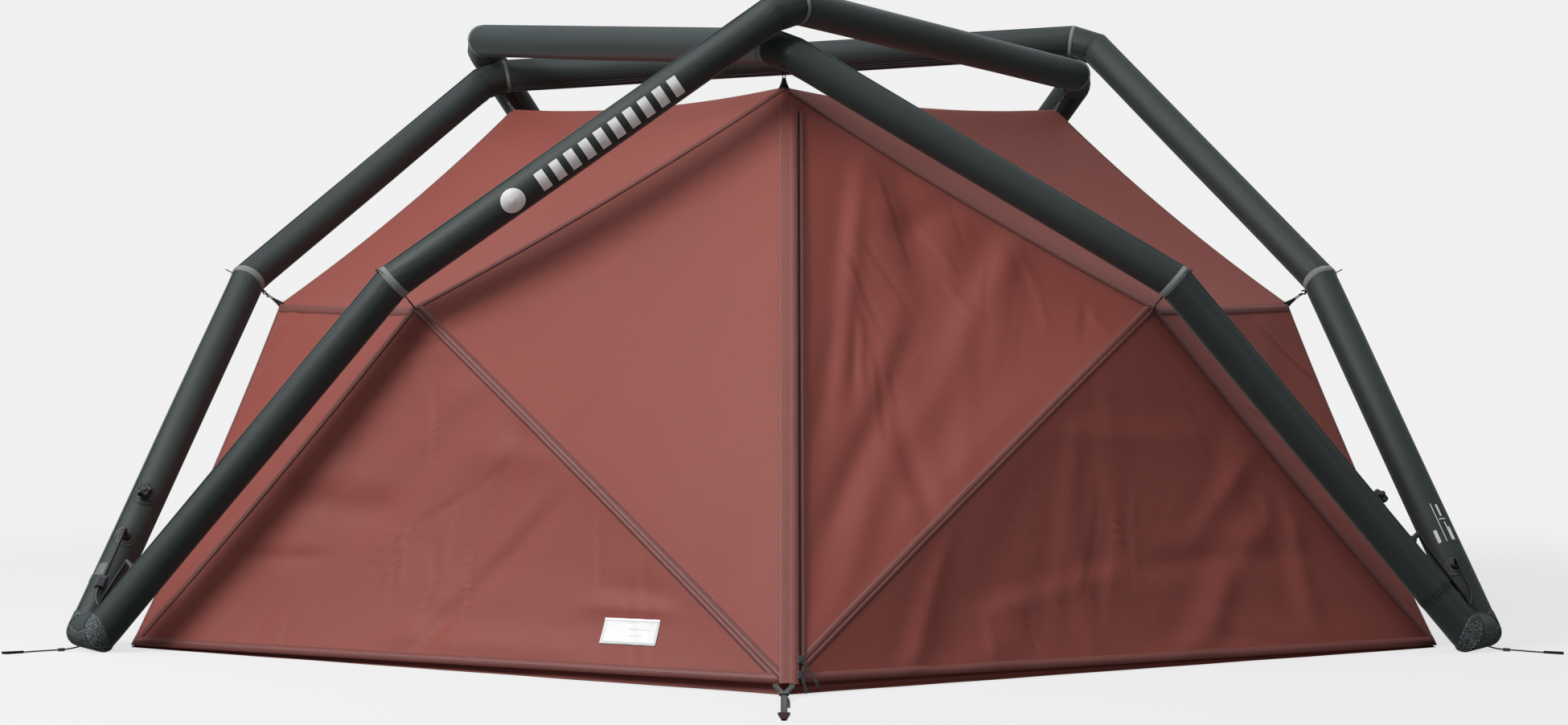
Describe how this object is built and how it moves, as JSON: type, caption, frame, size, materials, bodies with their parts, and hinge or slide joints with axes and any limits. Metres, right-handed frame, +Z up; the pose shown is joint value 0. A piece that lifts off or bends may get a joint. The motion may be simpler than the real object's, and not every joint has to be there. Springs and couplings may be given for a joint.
{
  "type": "inflatable tent",
  "caption": "Dome tent hung inside an inflated tube frame of crossing arches, with a zipped front vestibule, rear lobes, inner cabin, air valves and short ground tie-downs.",
  "frame": {"origin": "on the ground, on the underside of the groundsheet, under the middle of the tent", "axes": "+Z up, -Y out of the front door, +Y towards the rear foot, +X to the right seen from the front"},
  "size_m": [3.1748, 3.8675, 1.3591],
  "materials": {
    "sleeve_fabric": "coated satin",
    "crossing_fabric": "coated satin",
    "bladder_film": "translucent film",
    "band_webbing": "woven",
    "foot_grip": "moulded scales, satin",
    "valve_plastic": "moulded",
    "hose_rubber": "satin",
    "clamp_plastic": "moulded",
    "fly_fabric": "coated ripstop",
    "hem_fabric": "coated ripstop",
    "zip_fabric": "woven tape",
    "zip_metal": "satin",
    "pull_cord": "braided cord",
    "label_fabric": "matt woven",
    "tab_fabric": "matt",
    "webbing": "woven webbing",
    "lock_plastic": "moulded",
    "guy_cord": "braided cord",
    "peg_metal": "satin",
    "groundsheet_fabric": "coated",
    "inner_fabric": "light woven",
    "door_mesh": "fine mesh"
  },
  "bodies": {
    "tent": {"balance_hoses": "hose_rubber", "corner_tabs": "tab_fabric", "crossing_sleeves": "crossing_fabric", "elbow_bands": "band_webbing", "fly_foot_gussets": "fly_fabric", "fly_front_left": "fly_fabric", "fly_front_right": "fly_fabric", "fly_hem": "hem_fabric", "fly_label": "label_fabric", "fly_rear_left_lobe": "fly_fabric", "fly_rear_right_lobe": "fly_fabric", "fly_roof": "fly_fabric", "fly_side_panels": "fly_fabric", "foot_boots": "sleeve_fabric", "grip_patches": "foot_grip", "ground_pegs": "peg_metal", "groundsheet": "groundsheet_fabric", "guy_cord_front_left": "guy_cord", "guy_cord_front_right": "guy_cord", "guy_cord_rear": "guy_cord", "hanger_hooks": "pull_cord", "hose_bosses": "valve_plastic", "hose_clamp_bodies": "clamp_plastic", "inner_door": "door_mesh", "inner_tub": "groundsheet_fabric", "inner_walls": "inner_fabric", "left_arch_bladder": "bladder_film", "left_arch_legs": "sleeve_fabric", "left_arch_roof_run": "sleeve_fabric", "left_arch_sides": "sleeve_fabric", "rear_arch_bladder": "bladder_film", "rear_arch_legs": "sleeve_fabric", "rear_arch_roof_run": "sleeve_fabric", "rear_arch_sides": "sleeve_fabric", "right_arch_bladder": "bladder_film", "right_arch_legs": "sleeve_fabric", "right_arch_roof_run": "sleeve_fabric", "right_arch_sides": "sleeve_fabric", "storm_flap": "fly_fabric", "tie_down_strap": "webbing", "tie_down_webbing": "webbing", "valve_bases": "valve_plastic", "zip_tape": "zip_fabric"},
    "valve_cap_front_left": {"valve_cap_front_left": "valve_plastic"},
    "hose_clamp_lever_front_left": {"hose_clamp_lever_front_left": "clamp_plastic"},
    "guy_tensioner_front_left": {"guy_tensioner_front_left": "lock_plastic"},
    "valve_cap_front_right": {"valve_cap_front_right": "valve_plastic"},
    "hose_clamp_lever_front_right": {"hose_clamp_lever_front_right": "clamp_plastic"},
    "guy_tensioner_front_right": {"guy_tensioner_front_right": "lock_plastic"},
    "valve_cap_rear": {"valve_cap_rear": "valve_plastic"},
    "hose_clamp_lever_rear": {"hose_clamp_lever_rear": "clamp_plastic"},
    "guy_tensioner_rear": {"guy_tensioner_rear": "lock_plastic"},
    "zip_slider_lower": {"zip_slider_lower": "zip_metal"},
    "zip_pull_lower": {"zip_pull_lower": "pull_cord"},
    "zip_slider_upper": {"zip_slider_upper": "zip_metal"},
    "zip_pull_upper": {"zip_pull_upper": "pull_cord"},
    "ladder_lock": {"ladder_lock": "lock_plastic"},
    "inner_door_slider": {"inner_door_slider": "zip_metal"}
  },
  "joints": [
    {"name": "valve_cap_turn_front_left", "type": "hinge", "parent": "tent", "child": "valve_cap_front_left", "pos_m": [-1.35228, -0.59123, 0.28785], "axis": [0.1183, -0.8076, 0.5778], "range_deg": [0, 90]},
    {"name": "hose_clamp_open_front_left", "type": "hinge", "parent": "tent", "child": "hose_clamp_lever_front_left", "pos_m": [-1.40691, -0.77651, 0.15007], "axis": [-0.955, 0.0668, 0.2889], "range_deg": [0, 60]},
    {"name": "guy_tensioner_slide_front_left", "type": "slide", "parent": "tent", "child": "guy_tensioner_front_left", "axis": [-0.8525, -0.5226, -0.0105], "range_m": [-0.006, 0.008]},
    {"name": "valve_cap_turn_front_right", "type": "hinge", "parent": "tent", "child": "valve_cap_front_right", "pos_m": [1.18816, -0.87549, 0.28785], "axis": [0.6402, 0.5062, 0.5778], "range_deg": [0, 90]},
    {"name": "hose_clamp_open_front_right", "type": "hinge", "parent": "tent", "child": "hose_clamp_lever_front_right", "pos_m": [1.37593, -0.83017, 0.15007], "axis": [0.4197, -0.8605, 0.2889], "range_deg": [0, 60]},
    {"name": "guy_tensioner_slide_front_right", "type": "slide", "parent": "tent", "child": "guy_tensioner_front_right", "axis": [0.8788, -0.477, -0.0105], "range_m": [-0.006, 0.008]},
    {"name": "valve_cap_turn_rear", "type": "hinge", "parent": "tent", "child": "valve_cap_rear", "pos_m": [0.16412, 1.46672, 0.28785], "axis": [-0.7585, 0.3013, 0.5778], "range_deg": [0, 90]},
    {"name": "hose_clamp_open_rear", "type": "hinge", "parent": "tent", "child": "hose_clamp_lever_rear", "pos_m": [0.03098, 1.60668, 0.15007], "axis": [0.5354, 0.7937, 0.2889], "range_deg": [0, 60]},
    {"name": "guy_tensioner_slide_rear", "type": "slide", "parent": "tent", "child": "guy_tensioner_rear", "axis": [-0.0263, 0.9996, -0.0105], "range_m": [-0.006, 0.008]},
    {"name": "zip_slide_lower", "type": "slide", "parent": "tent", "child": "zip_slider_lower", "axis": [0, 0.6238, 0.7816], "range_m": [0, 0.012]},
    {"name": "zip_pull_swing_lower", "type": "hinge", "parent": "zip_slider_lower", "child": "zip_pull_lower", "pos_m": [0.0321, -1.64066, 0.03913], "axis": [-0.9379, -0.3453, -0.0339], "range_deg": [0, 110]},
    {"name": "zip_slide_upper", "type": "slide", "parent": "tent", "child": "zip_slider_upper", "axis": [0, 0.6238, 0.7816], "range_m": [0, 1.3]},
    {"name": "zip_pull_swing_upper", "type": "hinge", "parent": "zip_slider_upper", "child": "zip_pull_upper", "pos_m": [0.0321, -1.61945, 0.06571], "axis": [-0.8371, -0.4854, -0.2523], "range_deg": [0, 110]},
    {"name": "ladder_lock_tilt", "type": "hinge", "parent": "tent", "child": "ladder_lock", "pos_m": [0, -1.716, 0.009], "axis": [1, 0, 0], "range_deg": [0, 25]},
    {"name": "inner_door_zip_slide", "type": "slide", "parent": "tent", "child": "inner_door_slider", "axis": [0, -0.0975, 0.9952], "range_m": [0, 0.4]}
  ]
}
